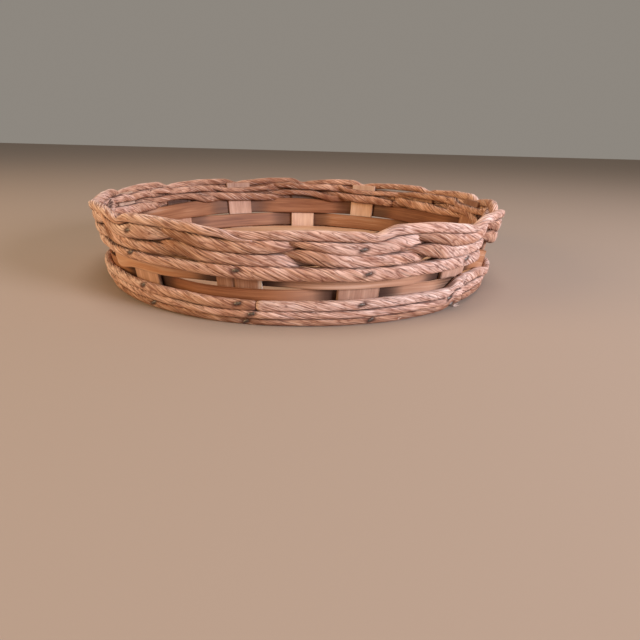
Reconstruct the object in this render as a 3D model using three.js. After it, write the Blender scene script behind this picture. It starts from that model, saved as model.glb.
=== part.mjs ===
// A round casserole carrier basket: a flat base board, upright splint stakes round its edge, one
// flat splint woven twice round them, and rows of twisted paper cord laid or twined above and below.
// Millimetres, +Z up, origin at the middle of the underside. The front faces -Y, and a place round
// the wall is given in stakes: 1 is the first stake, and 1.5 is halfway from it to the second.

import * as THREE from "three";

// Stakes. One more than an even number, so that a weaver passes each of them on the other side
// the next time round.
const stakePairs = 6;
const stakeWidth = 20.5;
const stakeThickness = 2;
const stakeFootHeight = 0.3; // above the surface that the basket stands on
const stakeTopBelowRim = 1.6; // below the top of the rim cord

// Wall: its radius is the middle of a stake's thickness at the foot, and it leans out a little.
const wallRadius = 117.8;
const wallLean = 0.16; // mm out for each mm up
const clearance = 0.3; // between two pieces that touch

// Base board
const boardThickness = 6.3;
const boardEdgeChamfer = 1.5; // enough to bring the flat top clear of the weaver above its edge

// Flat splint weaver: it starts outside stake 4 and runs clockwise, seen from above
const weaverWidth = 11.3;
const weaverThickness = 1.2;
const weaverFirstStake = 4;
const weaverTailAtStart = 0.08; // past the middle of its first stake, in stakes
const weaverTailAtEnd = 0.25;
const climbStart = 1.4; // where the first round climbs to the second, in stakes before its end
const climbEnd = 0.15;

// Cords. A depth is measured across the wall, and a height up it.
const cordDepth = 4.2;
const bottomCordHeight = 3.5;
const middleCordHeight = 3.7;
const topCordHeight = 4.9;
const cordFootHeight = 0.2;
const bandCordHeight = 6.4;
const lowerTwineHeight = 5.4;
const upperTwineHeight = 5.5;
const crossingHeight = 3.25; // of a twined strand squeezed where two of them cross
const crossingDepth = 5.2;
const innerStrandLift = 1.6; // a strand runs higher inside a stake than outside it
const rimCordHeight = 4.6;
const rimCordDepth = 4.6;
const rimLeanIn = 1.6; // the rim lies this much further in over a crossing than at a stake
const rimLapDepth = 2.3; // of each end where the rim's two ends lie side by side
const rimLapHeight = 3.8;
const rimTipShare = 0.6; // of the lap's size, at the tapered tip
const cordEndGap = 0.3;

// Places round the wall, in stakes
const bottomCordJoint = 4 + 1 / 6;
const middleCordJoint = 10 + 1 / 3;
const topCordJoint = 2 + 1 / 6;
const bandCordJoint = 12 + 1 / 2;
const lowerTwineJoint = 7 + 1 / 2;
const upperTwineJoint = 11 + 1 / 2;
const rimLapMiddle = 2;
const rimLapHalf = 1 / 6;
const rimLapEase = 1 / 3; // over which an end narrows before the lap

// Mesh fineness
const stationsPerStake = 8;
const cordSides = 6;
const stakeFacets = 4;
const boardFacetsPerStake = 4;
const bendSharpness = 1.6; // how flat a weaver runs across a stake before it changes sides

const cordColour = 0xc89678;
const splintColour = 0xb98563;
const stakeColour = 0xcda17f;
const boardColour = 0xd6b98f;

const stakeCount = 2 * stakePairs + 1;
const stakeStep = (2 * Math.PI) / stakeCount;
const frontMiddle = 2 + 1 / 2; // stakes 2 and 3 stand either side of the front

// Heights of the rows, from the bottom up
const weaverFoot = boardThickness + clearance;
const roundRise = weaverWidth + clearance;
const weaverTop = weaverFoot + roundRise + weaverWidth;
const middleCordFoot = cordFootHeight + bottomCordHeight + clearance;
const topCordFoot = middleCordFoot + middleCordHeight + clearance;
const bandFoot = weaverTop - bandCordHeight;
const strandRise = crossingHeight + clearance; // of the strand that crosses over the other
const lowerTwine = {
  atStake: weaverTop + clearance,
  atCrossing: weaverTop + clearance,
  height: lowerTwineHeight,
};
const upperTwine = {
  atStake: lowerTwine.atStake + lowerTwineHeight + clearance,
  atCrossing: lowerTwine.atCrossing + 2 * strandRise,
  height: upperTwineHeight,
};
const rimAtStake = upperTwine.atStake + upperTwineHeight + clearance;
const rimAtCrossing = upperTwine.atCrossing + 2 * strandRise;
const stakeTop = rimAtStake + rimCordHeight - stakeTopBelowRim;

const mix = (from, to, share) => from + (to - from) * share;
const ease = (from, to, value) => THREE.MathUtils.smoothstep(value, from, to);

// 0 at a stake and 1 at the crossing halfway to the next
const crossingShare = (stake) => ease(0, 1, Math.abs(Math.sin(Math.PI * stake)));

// 1 outside a stake and -1 inside, for a weaver that has passed this many stakes
const side = (passed) =>
  Math.tanh(bendSharpness * Math.cos(Math.PI * passed)) / Math.tanh(bendSharpness);
const sideAtStakeEdge = side(stakeWidth / 2 / (wallRadius * stakeStep));

// How far the middle of a weaver of this thickness swings, so that it clears a stake's edges
const swing = (thickness) => (stakeThickness / 2 + clearance + thickness / 2) / sideAtStakeEdge;

// A point of the wall: offset is measured outwards from the middle of the stakes.
function wallPoint(stake, offset, height) {
  const angle = (stake - frontMiddle) * stakeStep;
  const radius = wallRadius + wallLean * height + offset;
  return new THREE.Vector3(radius * Math.sin(angle), -radius * Math.cos(angle), height);
}

// Bends a straight unit solid round the wall: its Y runs along the route, its X points out of the
// basket and its Z up. The route gives each station's place and its section's depth and height.
function wrap(solid, route) {
  const position = solid.getAttribute("position");
  for (let i = 0; i < position.count; i++) {
    const at = route(position.getY(i) + 0.5);
    const offset = at.offset + position.getX(i) * at.depth;
    const point = wallPoint(at.stake, offset, at.middle + position.getZ(i) * at.height);
    position.setXYZ(i, point.x, point.y, point.z);
  }
  solid.computeVertexNormals();
  return solid;
}

const basket = new THREE.Group();

function addMesh(name, geometry, color, roughness) {
  const mesh = new THREE.Mesh(geometry, new THREE.MeshStandardMaterial({ color, roughness }));
  mesh.name = name;
  basket.add(mesh);
}

// A cord has flat facets above and below, where the next rows press on it.
function addCord(name, from, to, section) {
  const stations = Math.round((to - from) * stationsPerStake);
  const turn = Math.PI / cordSides;
  const solid = new THREE.CylinderGeometry(0.5, 0.5, 1, cordSides, stations, false, turn);
  const route = (along) => {
    const at = section(mix(from, to, along));
    return { ...at, height: at.height / Math.cos(turn) };
  };
  addMesh(name, wrap(solid, route), cordColour, 0.9);
}

const endGapInStakes = cordEndGap / (wallRadius * stakeStep);
const station = 1 / stationsPerStake;

// Stakes

for (let stake = 1; stake <= stakeCount; stake++) {
  const halfInStakes = stakeWidth / 2 / (wallRadius * stakeStep);
  const route = (along) => ({
    stake: mix(stake - halfInStakes, stake + halfInStakes, along),
    offset: 0,
    depth: stakeThickness,
    middle: (stakeFootHeight + stakeTop) / 2,
    height: stakeTop - stakeFootHeight,
  });
  const solid = new THREE.BoxGeometry(1, 1, 1, 1, stakeFacets, 1);
  addMesh("stake_" + String(stake).padStart(2, "0"), wrap(solid, route), stakeColour, 0.75);
}

// Base board, a chamfered disc inside the stakes that follows the wall's lean

function baseBoard() {
  const edgeAt = (height) => wallRadius + wallLean * height - stakeThickness / 2 - clearance;
  const profile = [
    new THREE.Vector2(0, 0),
    new THREE.Vector2(edgeAt(0) - boardEdgeChamfer, 0),
    new THREE.Vector2(edgeAt(boardEdgeChamfer), boardEdgeChamfer),
    new THREE.Vector2(edgeAt(boardThickness - boardEdgeChamfer), boardThickness - boardEdgeChamfer),
    new THREE.Vector2(edgeAt(boardThickness) - boardEdgeChamfer, boardThickness),
    new THREE.Vector2(0, boardThickness),
  ];
  return new THREE.LatheGeometry(profile, boardFacetsPerStake * stakeCount).rotateX(Math.PI / 2);
}
addMesh("base_board", baseBoard(), boardColour, 0.6);

// Splint weaver, measured in stakes passed since its start

const weaverBottom = (passed) => {
  const climb = ease(stakeCount - climbStart, stakeCount - climbEnd, passed);
  return weaverFoot + roundRise * climb;
};
const weaverOffset = (passed) => swing(weaverThickness) * side(passed);
const weaverEnd = 2 * stakeCount - 1 + weaverTailAtEnd;

function addWeaver() {
  const length = weaverEnd + weaverTailAtStart;
  const solid = new THREE.BoxGeometry(1, 1, 1, 1, Math.round(length * stationsPerStake), 1);
  const route = (along) => {
    const passed = weaverEnd - along * length;
    return {
      stake: weaverFirstStake - passed,
      offset: weaverOffset(passed),
      depth: weaverThickness,
      middle: weaverBottom(passed) + weaverWidth / 2,
      height: weaverWidth,
    };
  };
  addMesh("splint_weaver", wrap(solid, route), splintColour, 0.7);
}
addWeaver();

// Cords laid outside the stakes. Where the weaver is outside too, at their height, they lie on it.

function faceOutside(stake, low, high) {
  let face = stakeThickness / 2;
  const first = THREE.MathUtils.euclideanModulo(weaverFirstStake - stake, stakeCount);
  for (let passed = first - stakeCount; passed < weaverEnd + station; passed += stakeCount) {
    if (passed < -weaverTailAtStart - station) continue;
    const bottom = weaverBottom(passed);
    if (bottom < high + clearance && bottom + weaverWidth > low - clearance) {
      face = Math.max(face, weaverOffset(passed) + weaverThickness / 2);
    }
  }
  return face + clearance;
}

function addLaidCord(name, foot, height, joint) {
  addCord(name, joint, joint + stakeCount - endGapInStakes, (stake) => ({
    stake,
    offset: faceOutside(stake, foot, foot + height) + cordDepth / 2,
    depth: cordDepth,
    middle: foot + height / 2,
    height,
  }));
}
addLaidCord("lower_cord_1", cordFootHeight, bottomCordHeight, bottomCordJoint);
addLaidCord("lower_cord_2", middleCordFoot, middleCordHeight, middleCordJoint);
addLaidCord("lower_cord_3", topCordFoot, topCordHeight, topCordJoint);
addLaidCord("band_cord", bandFoot, bandCordHeight, bandCordJoint);

// Twined rows: two strands swap sides at every gap. The one that comes out crosses over the one
// that goes in, so each stroke slopes down from left to right outside and climbs again inside.

function addTwinedRow(name, row, joint) {
  ["a", "b"].forEach((strand, turned) => {
    addCord(name + "_" + strand, joint, joint + stakeCount - endGapInStakes, (stake) => {
      const crossing = crossingShare(stake);
      const outward = side(stake + turned);
      const rise = Math.sin(Math.PI * (stake + turned)) < 0 ? strandRise * crossing : 0;
      const lift = outward < 0 ? innerStrandLift * (1 - crossing) : 0;
      const height = mix(row.height, crossingHeight, crossing);
      return {
        stake,
        offset: swing(cordDepth) * outward,
        depth: mix(cordDepth, crossingDepth, crossing),
        middle: mix(row.atStake, row.atCrossing, crossing) + rise + lift + height / 2,
        height,
      };
    });
  });
}
addTwinedRow("lower_twine", lowerTwine, lowerTwineJoint);
addTwinedRow("upper_twine", upperTwine, upperTwineJoint);

// Rim cord: it dips at every stake and rides over the crossings, and its two ends lie side by side
// at one stake, the starting end inside and the tapered finishing end outside.

function addRimCord() {
  const from = rimLapMiddle - rimLapHalf;
  const to = rimLapMiddle + rimLapHalf + stakeCount;
  const stakeFace = stakeThickness / 2 + clearance;
  addCord("rim_cord", from, to, (stake) => {
    const start = 1 - ease(from + 2 * rimLapHalf, from + 2 * rimLapHalf + rimLapEase, stake);
    const finish = ease(to - 2 * rimLapHalf - rimLapEase, to - 2 * rimLapHalf, stake);
    const lap = Math.max(start, finish);
    const tip = mix(1, rimTipShare, ease(to - rimLapHalf, to, stake));
    const crossing = crossingShare(stake);
    const foot = mix(rimAtStake, rimAtCrossing, crossing);
    const lapInside = start ? 0 : rimLapDepth + clearance;
    const lapOffset = stakeFace + lapInside + rimLapDepth / 2;
    const openOffset = stakeFace + rimCordDepth / 2 - rimLeanIn * crossing * crossing;
    const height = mix(rimCordHeight, rimLapHeight, lap) * tip;
    return {
      stake,
      offset: mix(openOffset, lapOffset, lap),
      depth: mix(rimCordDepth, rimLapDepth, lap) * tip,
      middle: foot + height / 2,
      height,
    };
  });
}
addRimCord();

export default basket;
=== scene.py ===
"""The looks of a casserole carrier basket: a flat board, thirteen wood splint stakes, one long
splint woven round them, and rows of twisted paper cord held by steel wire staples.

Sizes are millimetres under the names that the CAD source gives them, and become metres where a
point is placed. A place round the wall is given in stakes, and the front of the basket faces -Y.
"""

import math

import bmesh
import bpy
import numpy as np
from mathutils import Matrix, Vector


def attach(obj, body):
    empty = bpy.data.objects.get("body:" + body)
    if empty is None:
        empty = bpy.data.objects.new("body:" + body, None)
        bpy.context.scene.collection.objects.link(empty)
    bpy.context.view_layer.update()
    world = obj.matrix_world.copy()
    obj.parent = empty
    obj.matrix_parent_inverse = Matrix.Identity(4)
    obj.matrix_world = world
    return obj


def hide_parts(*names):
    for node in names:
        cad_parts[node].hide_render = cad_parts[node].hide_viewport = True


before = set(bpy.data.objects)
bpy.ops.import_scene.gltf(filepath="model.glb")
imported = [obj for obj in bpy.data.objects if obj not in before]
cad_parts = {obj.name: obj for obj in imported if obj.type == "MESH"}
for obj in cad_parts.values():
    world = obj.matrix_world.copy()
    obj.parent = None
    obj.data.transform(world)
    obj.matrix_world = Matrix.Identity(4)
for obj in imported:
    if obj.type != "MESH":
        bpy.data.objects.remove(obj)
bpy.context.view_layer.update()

MM = 0.001

# Sizes of the CAD source

STAKE_COUNT = 13
STAKE_WIDTH = 20.5
STAKE_THICKNESS = 2.0
STAKE_FOOT_HEIGHT = 0.3
STAKE_TOP_BELOW_RIM = 1.6
WALL_RADIUS = 117.8
WALL_LEAN = 0.16
CLEARANCE = 0.3
BOARD_THICKNESS = 6.3
BOARD_EDGE_CHAMFER = 1.5

WEAVER_WIDTH = 11.3
WEAVER_THICKNESS = 1.2
WEAVER_FIRST_STAKE = 4
WEAVER_TAIL_AT_START = 0.08
WEAVER_TAIL_AT_END = 0.25
CLIMB_START = 1.4
CLIMB_END = 0.15

CORD_DEPTH = 4.2
BOTTOM_CORD_HEIGHT = 3.5
MIDDLE_CORD_HEIGHT = 3.7
TOP_CORD_HEIGHT = 4.9
CORD_FOOT_HEIGHT = 0.2
BAND_CORD_HEIGHT = 6.4
LOWER_TWINE_HEIGHT = 5.4
UPPER_TWINE_HEIGHT = 5.5
CROSSING_DEPTH = 5.2
RIM_CORD_HEIGHT = 4.6
RIM_CORD_DEPTH = 4.6
RIM_LEAN_IN = 1.6
RIM_LAP_DEPTH = 2.3
RIM_LAP_HEIGHT = 3.8
CORD_END_GAP = 0.3

BOTTOM_CORD_JOINT = 4 + 1 / 6
MIDDLE_CORD_JOINT = 10 + 1 / 3
TOP_CORD_JOINT = 2 + 1 / 6
LOWER_TWINE_JOINT = 7 + 1 / 2
UPPER_TWINE_JOINT = 11 + 1 / 2
RIM_LAP_MIDDLE = 2
RIM_LAP_HALF = 1 / 6
RIM_LAP_EASE = 1 / 3
BEND_SHARPNESS = 1.6
FRONT_MIDDLE = 2.5

STAKE_STEP = 2 * math.pi / STAKE_COUNT
STAKE_PITCH = WALL_RADIUS * STAKE_STEP
STAKE_HALF = STAKE_WIDTH / 2 / STAKE_PITCH

WEAVER_FOOT = BOARD_THICKNESS + CLEARANCE
ROUND_RISE = WEAVER_WIDTH + CLEARANCE
WEAVER_TOP = WEAVER_FOOT + ROUND_RISE + WEAVER_WIDTH
MIDDLE_CORD_FOOT = CORD_FOOT_HEIGHT + BOTTOM_CORD_HEIGHT + CLEARANCE
TOP_CORD_FOOT = MIDDLE_CORD_FOOT + MIDDLE_CORD_HEIGHT + CLEARANCE
BAND_FOOT = WEAVER_TOP - BAND_CORD_HEIGHT
LOWER_TWINE_FOOT = WEAVER_TOP + CLEARANCE
UPPER_TWINE_FOOT = LOWER_TWINE_FOOT + LOWER_TWINE_HEIGHT + CLEARANCE
RIM_AT_STAKE = UPPER_TWINE_FOOT + UPPER_TWINE_HEIGHT + CLEARANCE
STAKE_TOP = RIM_AT_STAKE + RIM_CORD_HEIGHT - STAKE_TOP_BELOW_RIM
WEAVER_END = 2 * STAKE_COUNT - 1 + WEAVER_TAIL_AT_END

chance = np.random.default_rng(13)


# The wall's shape

TABLE_GAP = 0.03  # the lowest row lies flat, this far above the table


def mix(a, b, share):
    return a + (b - a) * share


def ease(low, high, value):
    share = np.clip((value - low) / (high - low), 0, 1)
    return share * share * (3 - 2 * share)


def bell(value, middle, reach, power=2):
    """1 at the middle, and near 0 from this reach on. A higher power is flatter at the top."""
    return np.exp(-(((value - middle) / reach) ** power))


def crossing_share(stake):
    """0 at a stake and 1 at the crossing halfway to the next."""
    return ease(0, 1, np.abs(np.sin(np.pi * stake)))


def side(passed):
    """1 outside a stake and -1 inside, for a weaver that has passed this many stakes."""
    return np.tanh(BEND_SHARPNESS * np.cos(np.pi * passed)) / math.tanh(BEND_SHARPNESS)


def swing(thickness):
    """How far the middle of a weaver of this thickness goes out, to clear a stake's edges."""
    return (STAKE_THICKNESS / 2 + CLEARANCE + thickness / 2) / side(STAKE_HALF)


def on_wall(stake, offset, height):
    """Points in metres. The offset is measured outwards from the middle of the stakes."""
    angle = (stake - FRONT_MIDDLE) * STAKE_STEP
    height = np.maximum(height, TABLE_GAP)
    radius = WALL_RADIUS + WALL_LEAN * height + offset
    return np.stack([radius * np.sin(angle), -radius * np.cos(angle), height + 0 * radius], -1) * MM


def wander(places, step, size):
    """A smooth random line through these places, with a turn about every step."""
    places = np.asarray(places, float)
    low, high = places.min(), places.max()
    count = int((high - low) / step) + 4
    knots = chance.uniform(-size, size, count)
    at = (places - low) / step
    first = np.clip(at.astype(int), 0, count - 2)
    return mix(knots[first], knots[first + 1], ease(0, 1, at - first))


def curve_through(places, values, at, period=None):
    """A smooth curve through the given points, which repeats if it has a period."""
    places, values = np.array(places, float), np.array(values, float)
    if period:
        at = places[0] + np.mod(at - places[0], period)
        places = np.concatenate([places[-2:] - period, places, places[:3] + period])
        values = np.concatenate([values[-2:], values, values[:3]])
    slopes = np.gradient(values, places)
    first = np.clip(np.searchsorted(places, at, "right") - 1, 0, len(places) - 2)
    gap = places[first + 1] - places[first]
    share = np.clip((at - places[first]) / gap, 0, 1)
    bend = share * (1 - share) * gap
    bent = bend * ((1 - share) * slopes[first] - share * slopes[first + 1])
    return mix(values[first], values[first + 1], ease(0, 1, share)) + bent


def weaver_bottom(passed):
    climb = ease(STAKE_COUNT - CLIMB_START, STAKE_COUNT - CLIMB_END, passed)
    return WEAVER_FOOT + ROUND_RISE * climb


def face_outside(stake, low, high):
    """How far out the stakes and any weaver outside them reach, at these heights."""
    face = np.full_like(stake, STAKE_THICKNESS / 2)
    first = np.mod(WEAVER_FIRST_STAKE - stake, STAKE_COUNT)
    for turns in (-1, 0, 1):
        passed = first + turns * STAKE_COUNT
        bottom = weaver_bottom(passed)
        beside = (bottom < high + CLEARANCE) & (bottom + WEAVER_WIDTH > low - CLEARANCE)
        beside &= (passed > -WEAVER_TAIL_AT_START) & (passed < WEAVER_END)
        weaver = swing(WEAVER_THICKNESS) * side(passed) + WEAVER_THICKNESS / 2
        face = np.where(beside, np.maximum(face, weaver), face)
    return face + CLEARANCE


RIDE_UP = (3.84, 3.97)  # stakes between which the lower rows ride up over the weaver's start
COME_DOWN = (4.4, 4.9)  # and between which they come down again
RIDE_UP_SWELL = 0.3  # how much taller a row is there, as a share of how far it rides up


def laid_row(foot, height, ride_up=0.0):
    """The section of a cord laid outside the stakes: offset, depth, middle height and height."""

    def section(stake):
        offset = face_outside(stake, foot, foot + height) + CORD_DEPTH / 2
        round_at = np.mod(stake, STAKE_COUNT)
        lift = ride_up * ease(*RIDE_UP, round_at) * (1 - ease(*COME_DOWN, round_at))
        depth = np.full_like(stake, CORD_DEPTH)
        return offset, depth, foot + height / 2 + lift, height + RIDE_UP_SWELL * lift

    return section


# The band's two ends turn in on either side of stake 5, which is bare in the photograph
BAND_FROM = 5.22
BAND_TO = 4.4 + STAKE_COUNT
BAND_TURNS = (0.24, 0.14)  # stakes over which its first and last ends turn in
BAND_TURNED_IN = 5.5
BAND_END_LOSS = 1.2  # how much lower a turned-in end is
NARROW_BAND_AT = 13.5
NARROW_BAND_REACH = 1.2
NARROW_BAND_LOSS = 2.0  # from below


def band_section(stake):
    offset, depth, middle, height = laid_row(BAND_FOOT, BAND_CORD_HEIGHT)(stake)
    turned_in = ease(BAND_TO - BAND_TURNS[1], BAND_TO, stake)
    turned_in = turned_in + ease(BAND_FROM + BAND_TURNS[0], BAND_FROM, stake)
    narrow = NARROW_BAND_LOSS * bell(stake, NARROW_BAND_AT, NARROW_BAND_REACH, 4)
    height = height - BAND_END_LOSS * turned_in - narrow
    return offset - BAND_TURNED_IN * turned_in, depth, middle + narrow / 2, height


# The twined rows, as the photograph shows them. A strand's place in its cycle of two stakes is 0
# where it lies outside a stake and 1 where it lies inside the next. It swaps sides a little to the
# left of the middle of a gap, and keeps its full height until the other strand covers it.

SWAP_EARLY = 0.08
CYCLE = (-0.58, -0.5, -0.4, -0.3, -0.2, -0.1, 0, 0.2, 0.3, 0.42, 0.5, 0.6, 0.8, 1, 1.2, 1.3)
LOWER_OUTSIDE = (
    (4.2, 3.0, 1.5, 0.5, 0.1, 0, 0, 0, -0.3, -0.6, -0.6),
    (7.7, 8.5, 8.4, 7.2, 6.2, 5.8, 5.7, 5.7, 6.0, 5.4, 4.8),
)
UPPER_OUTSIDE = (
    (10.0, 9.0, 8.0, 6.9, 6.0, 5.7, 5.7, 5.7, 6.2, 7.4, 8.0),
    (11.8, 11.7, 11.6, 11.6, 11.6, 11.6, 11.6, 11.6, 11.6, 11.8, 11.7),
)
LOWER_INSIDE_HIGH = ((0.6, 3.4, 4.6, 4.4, 4.0), (6.2, 8.3, 8.7, 8.7, 8.4))
UPPER_INSIDE_HIGH = ((8.7, 9.2, 9.3, 9.4, 9.6), (12.4, 13.4, 13.6, 13.2, 12.4))
LOWER_INSIDE_LOW = ((-0.4, 0, 0.2, 0.9, 2.0), (5.4, 6.6, 6.9, 7.2, 7.6))
UPPER_INSIDE_LOW = ((8.0, 7.6, 7.4, 7.8, 8.6), (11.7, 11.3, 11.1, 11.3, 11.7))
SQUASH = 0.4  # how much thinner than in its solid a strand is where it crosses the other
FOOT_SHARE = 0.35  # of the rim's rise over the upper row, which that row's lower edge follows
SAG_AT = 4.95  # the twined rows sag where the band is missing under them
SAG = 1.6
SAG_REACH = 0.36
LOWER_SAG_SHARE = 0.8  # of the sag, for the upper edge of the lower row
UPPER_SAG_SHARE = 0.5

# The rim dips into a crease at each stake, a little before or past its middle, and rises between
RIM_FOOT = WEAVER_TOP + 11.7
CREASE_PAST = (-0.1, 0.05, 0.03, 0.04, 0.2, 0.0, -0.02, 0.05, -0.02, -0.02, 0.07, 0, 0)
HUMP_RANGE = (1.7, 2.3)
HUMPS_SEEN = (2.3, 2.4, 0.5, 2.6, 2.4)  # in the gaps before and after stakes 1 to 4
HUMP_UP_BY = 0.2  # of a gap
HUMP_DOWN_FROM = 0.45
LOOSE_GAP = 7  # the rim stands clear of the upper row here, and light comes through
humps = chance.uniform(*HUMP_RANGE, STAKE_COUNT)
humps[: len(HUMPS_SEEN)] = HUMPS_SEEN


def past_crease(stake):
    """How many creases the rim has passed, counted like stakes."""
    return stake - curve_through(np.arange(1, STAKE_COUNT + 1), CREASE_PAST, stake, STAKE_COUNT)


def rim_rise(stake):
    """How much higher the rim runs than in a crease: up fast after it, then slowly down."""
    past = past_crease(stake)
    gap = np.mod(np.floor(past).astype(int), STAKE_COUNT)
    share = past - np.floor(past)
    return humps[gap] * ease(0, HUMP_UP_BY, share) * (1 - ease(HUMP_DOWN_FROM, 1, share))


def twined_strand(outside, inside, turned):
    """The section of one of a row's two strands, which swap sides at every gap."""
    foot_line = outside[0] + inside[0]
    top_line = outside[1] + inside[1]

    def section(stake):
        place = stake + turned
        foot = curve_through(CYCLE, foot_line, place, 2)
        top = curve_through(CYCLE, top_line, place, 2)
        if outside is UPPER_OUTSIDE:
            loose = np.floor(np.mod(past_crease(stake), STAKE_COUNT)) == LOOSE_GAP
            inside_now = ease(0.1, 0.9, -side(place + SWAP_EARLY)) * (inside is UPPER_INSIDE_LOW)
            rise = rim_rise(stake) * np.where(loose, 0, 1 - inside_now)
            top = top + rise
            foot = foot + FOOT_SHARE * rise
        sag = SAG * bell(np.mod(stake, STAKE_COUNT), SAG_AT, SAG_REACH)
        foot = foot - sag
        top = top - sag * (UPPER_SAG_SHARE if outside is UPPER_OUTSIDE else LOWER_SAG_SHARE)
        outward = side(place + SWAP_EARLY)
        depth = mix(CORD_DEPTH, CROSSING_DEPTH - SQUASH, 1 - np.abs(outward))
        return swing(CORD_DEPTH) * outward, depth, WEAVER_TOP + (foot + top) / 2, top - foot

    return section


RIM_FROM = RIM_LAP_MIDDLE - RIM_LAP_HALF
RIM_TO = RIM_LAP_MIDDLE + RIM_LAP_HALF + STAKE_COUNT
CREASE_REACH = 0.07
CREASE_PINCH = 1.1  # how much lower the cord itself is in a crease
DEEP_CREASE_AT = 5.2  # where the rows below sag too
DEEP_CREASE_REACH = 0.2
DEEP_CREASE_DROP = 1.6
DEEP_CREASE_IN = 1.5
LAST_HUMP = 1.3  # how much higher the rim stays just before it ends
LAST_HUMP_UP = (1.55, 1.75)
LAST_HUMP_DOWN = (1.92, 2.06)
FINISH_DROP = 0.4
TIP_FROM = 1.6  # half laps before the end, where the finishing tip starts to be drawn out
TIP_TO = 0.1
TIP_HEIGHT_SHARE = 0.14
TIP_DEPTH_SHARE = 0.3


def rim_section(stake):
    """The rim cord's section. It dips into a crease past each stake. Its two ends lie side by
    side: the finishing one outside, drawn out to a low tip, and the starting one behind it."""
    start = 1 - ease(RIM_FROM + 2 * RIM_LAP_HALF, RIM_FROM + 2 * RIM_LAP_HALF + RIM_LAP_EASE, stake)
    finish = ease(RIM_TO - 2 * RIM_LAP_HALF - RIM_LAP_EASE, RIM_TO - 2 * RIM_LAP_HALF, stake)
    lap = np.maximum(start, finish)
    drawn_out = ease(RIM_TO - TIP_FROM * RIM_LAP_HALF, RIM_TO - TIP_TO * RIM_LAP_HALF, stake)
    second_round = stake - STAKE_COUNT
    last_hump = ease(*LAST_HUMP_UP, second_round) * (1 - ease(*LAST_HUMP_DOWN, second_round))
    crossing = crossing_share(stake)
    from_crease = np.mod(past_crease(stake) + 0.5, 1) - 0.5
    pinch = bell(from_crease, 0, CREASE_REACH) * (1 - lap)
    deep = bell(np.mod(stake, STAKE_COUNT), DEEP_CREASE_AT, DEEP_CREASE_REACH)
    foot = RIM_FOOT + rim_rise(stake) - FINISH_DROP * finish - DEEP_CREASE_DROP * deep
    foot = foot + np.where(finish > 0, LAST_HUMP * last_hump, 0)
    stake_face = STAKE_THICKNESS / 2 + CLEARANCE
    lap_inside = np.where(start > 0, 0, RIM_LAP_DEPTH + CLEARANCE)
    lap_offset = stake_face + lap_inside + RIM_LAP_DEPTH / 2
    open_offset = stake_face + RIM_CORD_DEPTH / 2 - RIM_LEAN_IN * crossing * crossing
    height = mix(RIM_CORD_HEIGHT, RIM_LAP_HEIGHT, lap) * mix(1, TIP_HEIGHT_SHARE, drawn_out)
    height = height - CREASE_PINCH * pinch
    depth = mix(RIM_CORD_DEPTH, RIM_LAP_DEPTH, lap) * mix(1, TIP_DEPTH_SHARE, drawn_out)
    offset = mix(open_offset - DEEP_CREASE_IN * deep, lap_offset, lap)
    return offset, depth, foot + height / 2, height


# Making pieces

LAY_MAP = "lay"  # UV map: millimetres along a cord or splint, and millimetres across it
BAKE_MAP = "OFBake"  # UV map: the piece laid out in strips, inside the unit square
BAKE_INSET = 0.02


def tube(name, stations, sides, shape, girth, material, replaces=()):
    """A closed solid made by bending a flat grid round a route, its ends drawn to a point.

    shape takes each vertex's station and side numbers, and gives its place in metres, how far
    along the piece it is in millimetres, and the values of its named attributes.
    """
    bm = bmesh.new()
    bmesh.ops.create_grid(bm, x_segments=stations, y_segments=sides, size=0.5, calc_uvs=False)
    flat = np.array([vert.co[:2] for vert in bm.verts]) + 0.5
    station = np.rint(flat[:, 0] * stations).astype(int)
    row = np.rint(flat[:, 1] * sides).astype(int)
    places, along, values = shape(station, row % sides)
    for key in values:
        bm.verts.layers.float.new(key)
    for key in (LAY_MAP, BAKE_MAP):
        bm.loops.layers.uv.new(key)
    layers = {key: bm.verts.layers.float[key] for key in values}
    lay, bake = (bm.loops.layers.uv[key] for key in (LAY_MAP, BAKE_MAP))
    verts = list(bm.verts)
    for face in bm.faces:
        face.smooth = True
        for loop in face.loops:
            i = loop.vert.index
            loop[lay].uv = (along[i], row[i] / sides * girth)
    strips = max(1, round(math.sqrt(along.max() / girth)))
    for face in bm.faces:
        numbers = [loop.vert.index for loop in face.loops]
        strip = min(int(min(station[i] for i in numbers) * strips / stations), strips - 1)
        for loop, i in zip(face.loops, numbers):
            along_strip = station[i] * strips / stations - strip
            across_strip = strip + BAKE_INSET + (1 - 2 * BAKE_INSET) * row[i] / sides
            loop[bake].uv = (BAKE_INSET + (1 - 3 * BAKE_INSET) * along_strip, across_strip / strips)
    for vert, place in zip(verts, places):
        vert.co = place
    for key, numbers in values.items():
        for vert, number in zip(verts, numbers):
            vert[layers[key]] = number
    border = [verts[i] for i in np.nonzero((row == 0) | (row == sides))[0]]
    ends = [verts[i] for i in np.nonzero((station == 0) | (station == stations))[0]]
    bmesh.ops.remove_doubles(bm, verts=list(set(border + ends)), dist=1e-7)
    bmesh.ops.recalc_face_normals(bm, faces=bm.faces)
    finished(name, bm, material, replaces)


def finished(name, bm, material, replaces=()):
    mesh = bpy.data.meshes.new(name)
    bm.to_mesh(mesh)
    bm.free()
    piece = bpy.data.objects.new(name, mesh)
    bpy.context.scene.collection.objects.link(piece)
    mesh.materials.append(material)
    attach(piece, "root")
    if replaces:
        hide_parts(*replaces)


# Materials


def linear(hexa):
    """An sRGB hex colour as linear red, green, blue and alpha."""
    parts = [int(hexa[i : i + 2], 16) / 255 for i in (1, 3, 5)]
    return [c / 12.92 if c <= 0.04045 else ((c + 0.055) / 1.055) ** 2.4 for c in parts] + [1.0]


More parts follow.
